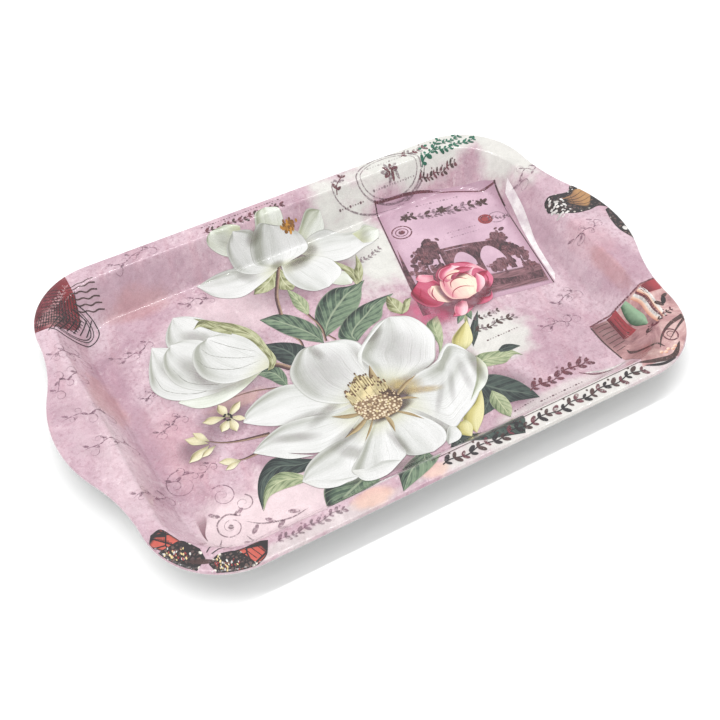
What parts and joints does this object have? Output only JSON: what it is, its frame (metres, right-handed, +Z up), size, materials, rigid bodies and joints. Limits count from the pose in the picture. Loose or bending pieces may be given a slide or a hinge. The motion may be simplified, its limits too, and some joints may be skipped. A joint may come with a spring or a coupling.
{
  "type": "serving tray",
  "caption": "Shallow rectangular tinplate serving tray with a flat flange, a wavy ear at each end, a wired edge and a printed floral upper face.",
  "frame": {"origin": "middle of the underside of the floor, the face that the tray stands on", "axes": "+X along the length towards one ear, +Y across the tray, +Z up out of the dish"},
  "size_m": [0.3902, 0.2522, 0.0241],
  "materials": {
    "tinplate": "lacquered tinplate, semi-gloss",
    "wire": "drawn steel wire",
    "white_coat": "white stoving enamel",
    "print": "printed inks under clear gloss varnish"
  },
  "bodies": {
    "root": {"tray_pan": "tinplate", "rim_wire": "wire", "base_coat": "white_coat", "printed_face": "print"}
  },
  "joints": []
}
